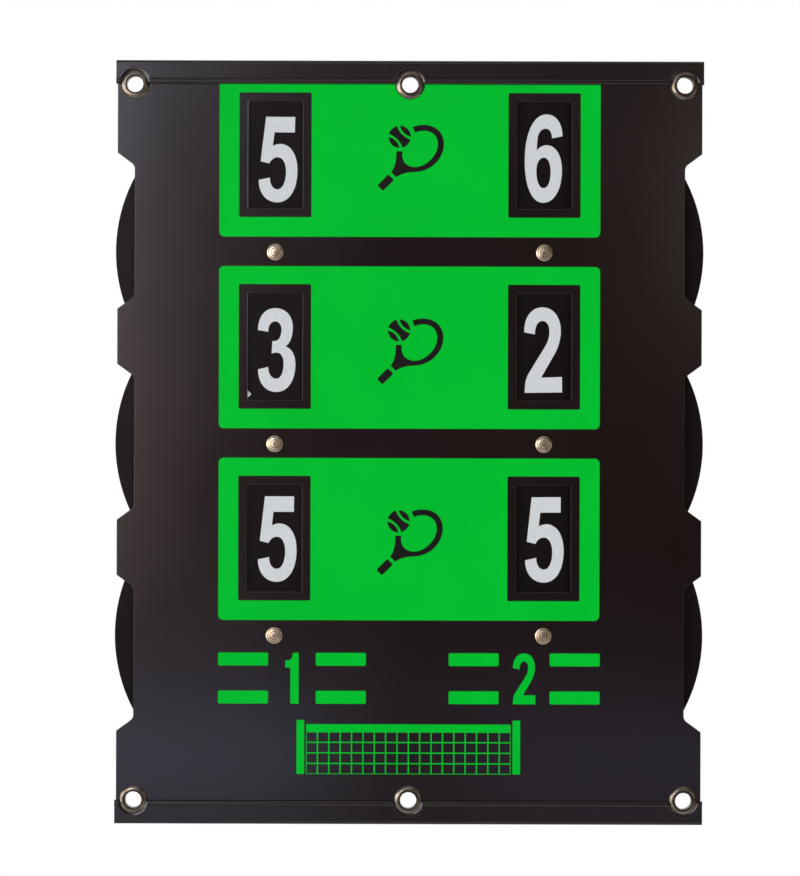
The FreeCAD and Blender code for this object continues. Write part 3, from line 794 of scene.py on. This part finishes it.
# Places and sizes in metres. A lamp aims at the board's middle unless it names another spot,
# and mirrored and lights say whether gloss shows it and whether it lights matt surfaces.
lamps = {
    "keyHigh": {"place": (-0.49, -1.04, 0.39), "size": (0.30, 0.36), "watts": 2.7,
                "colour": (0.78, 0.82, 1.0)},
    "keyLow": {"place": (-0.49, -1.04, 0.03), "size": (0.30, 0.36), "watts": 1.66,
               "colour": (1.0, 0.78, 0.77)},
    "fillLeft": {"place": (-1.9, -1.3, -0.1), "size": (0.9, 1.2), "watts": 17.4,
                 "colour": (1.0, 1.0, 1.0)},
    "rimLeft": {"place": (-0.62, -0.42, 0.0), "size": (0.50, 0.26), "watts": 1.0,
                "colour": (1.0, 0.97, 0.90), "lights": False},
    "fillRight": {"place": (1.75, -1.35, 0.15), "size": (0.9, 1.2), "watts": 35.0,
                  "colour": (1.0, 0.99, 0.98), "mirrored": False},
    "rimRight": {"place": (0.66, -0.62, 0.0), "size": (0.40, 0.30), "watts": 0.35,
                 "colour": (1.0, 0.95, 0.88), "lights": False},
    "overhead": {"place": (0, -0.55, 1.0), "aim": (0, 0, 0.25), "size": (1.4, 0.7), "watts": 1.4,
                 "colour": (1.0, 0.96, 0.92), "lights": False},
    "topSoft": {"place": (-0.15, -1.2, 0.60), "size": (0.6, 0.2), "watts": 0.72,
                "colour": (0.80, 0.88, 1.0)},
    "topRight": {"place": (0.36, -1.0, 0.235), "size": (0.20, 0.24), "watts": 0.115,
                 "colour": (1.0, 0.86, 0.80)},
    "lowLeft": {"place": (-0.30, -1.0, -0.31), "size": (0.46, 0.08), "watts": 0.222,
                "colour": (0.55, 0.70, 1.0)},
    "lowRight": {"place": (0.24, -1.0, -0.31), "size": (0.40, 0.08), "watts": 0.078,
                 "colour": (0.50, 0.62, 1.0)},
    "keyBack": {"place": (0.49, 1.04, 0.21), "size": (0.30, 0.72), "watts": 2.8,
                "colour": (1.0, 0.98, 1.0)},
}
surround = {
    "fill": (0.14, 0.14, 0.145, 1),     # what lights the matt surfaces
    "front": (0.016, 0.011, 0.009, 1),  # the dim side of the studio, which gloss mirrors
    "white": (1, 1, 1, 1),
    "turnsWhite": (-0.25, 0.55),        # range of the direction's y over which the mirror view brightens
    "lifts": (-0.6, 0.6),               # and of its z, from the foot of the backdrop to its top
}


def makeFloor():
    bm = bmesh.new()
    bmesh.ops.create_circle(bm, cap_ends=True, segments=floor["segments"], radius=floor["radius"] * mm)
    bmesh.ops.translate(bm, verts=bm.verts, vec=(0, 0, floor["level"] * mm))
    mesh = bpy.data.meshes.new("floor")
    bm.to_mesh(mesh)
    bm.free()
    material, tree, shader = startMaterial("pale floor", floor)
    shader.inputs["Base Color"].default_value = floor["colour"]
    shader.inputs["Roughness"].default_value = floor["roughness"]
    shader.inputs["Emission Color"].default_value = floor["glowColour"]
    rays = tree.nodes.new("ShaderNodeLightPath")
    glow = calculate(tree, "MULTIPLY", rays.outputs["Is Camera Ray"], floor["glow"])
    feed(tree, shader.inputs["Emission Strength"], glow)
    coords = tree.nodes.new("ShaderNodeTexCoord")
    length = tree.nodes.new("ShaderNodeVectorMath")
    length.operation = "LENGTH"
    flatten = tree.nodes.new("ShaderNodeVectorMath")
    flatten.operation = "MULTIPLY"
    flatten.inputs[1].default_value = (1, 1, 0)
    tree.links.new(coords.outputs["Object"], flatten.inputs[0])
    tree.links.new(flatten.outputs["Vector"], length.inputs[0])
    inside, outside = (share * floor["radius"] * mm for share in floor["fade"])
    clear = tree.nodes.new("ShaderNodeBsdfTransparent")
    blend = tree.nodes.new("ShaderNodeMixShader")
    tree.links.new(remap(tree, length.outputs["Value"], inside, outside), blend.inputs[0])
    tree.links.new(shader.outputs["BSDF"], blend.inputs[1])
    tree.links.new(clear.outputs["BSDF"], blend.inputs[2])
    tree.links.new(blend.outputs["Shader"], tree.nodes["Material Output"].inputs["Surface"])
    mesh.materials.append(material)
    piece = bpy.data.objects.new("floor", mesh)
    bpy.context.scene.collection.objects.link(piece)


def hangLamp(name, look):
    light = bpy.data.lights.new(name, "AREA")
    light.shape = "RECTANGLE"
    light.size, light.size_y = look["size"]
    light.energy = look["watts"]
    light.color = look["colour"]
    lamp = bpy.data.objects.new(name, light)
    lamp.location = look["place"]
    lamp.visible_camera = False
    lamp.visible_glossy = look.get("mirrored", True)
    lamp.visible_diffuse = look.get("lights", True)
    towards = Vector(look.get("aim", (0, 0, 0))) - Vector(look["place"])
    lamp.rotation_euler = towards.to_track_quat("-Z", "Y").to_euler()
    bpy.context.scene.collection.objects.link(lamp)


def makeSurround():
    # white to the camera, brighter behind the board than in front of it where gloss mirrors it
    world = bpy.data.worlds.new("surround")
    world.use_nodes = True
    tree = world.node_tree
    rays = tree.nodes.new("ShaderNodeLightPath")
    coords = tree.nodes.new("ShaderNodeTexCoord")
    direction = splitVector(tree, coords.outputs["Generated"])
    behind = calculate(tree, "MULTIPLY", remap(tree, direction["Y"], *surround["turnsWhite"]),
                       remap(tree, direction["Z"], *surround["lifts"]))
    mirrored = mixColour(tree, behind, surround["front"], surround["white"])
    lit = mixColour(tree, rays.outputs["Is Glossy Ray"], surround["fill"], mirrored)
    seen = calculate(tree, "MAXIMUM", rays.outputs["Is Camera Ray"], rays.outputs["Is Transmission Ray"])
    feed(tree, tree.nodes["Background"].inputs["Color"], mixColour(tree, seen, lit, surround["white"]))
    world.cycles.sampling_method = "NONE"
    bpy.context.scene.world = world


makeFloor()
for name, look in lamps.items():
    hangLamp(name, look)
makeSurround()
print("studio lit by", len(lamps), "lamps")


# Camera, square on to the board

view = {
    "distance": 3.0,          # metres from the front sheet
    "pictureHeight": 642.5,   # what the picture's long side takes in there
    "place": (-6.75, 3.3),    # off the board's middle, to the right and up
    "roll": 0.17,
    "sensor": 36.0,
}


def setCamera():
    data = bpy.data.cameras.new("camera")
    data.sensor_width = view["sensor"]
    data.lens = view["sensor"] * view["distance"] / (view["pictureHeight"] * mm)
    camera = bpy.data.objects.new("camera", data)
    spot = Vector((view["place"][0] * mm, sheetFront - view["distance"], view["place"][1] * mm))
    upright = Matrix.Rotation(math.radians(90), 4, "X")
    roll = Matrix.Rotation(math.radians(view["roll"]), 4, "Z")
    camera.matrix_world = Matrix.Translation(spot) @ upright @ roll
    bpy.context.scene.collection.objects.link(camera)
    bpy.context.scene.camera = camera


setCamera()
bpy.context.scene.view_settings.view_transform = "Standard"
print("camera set")
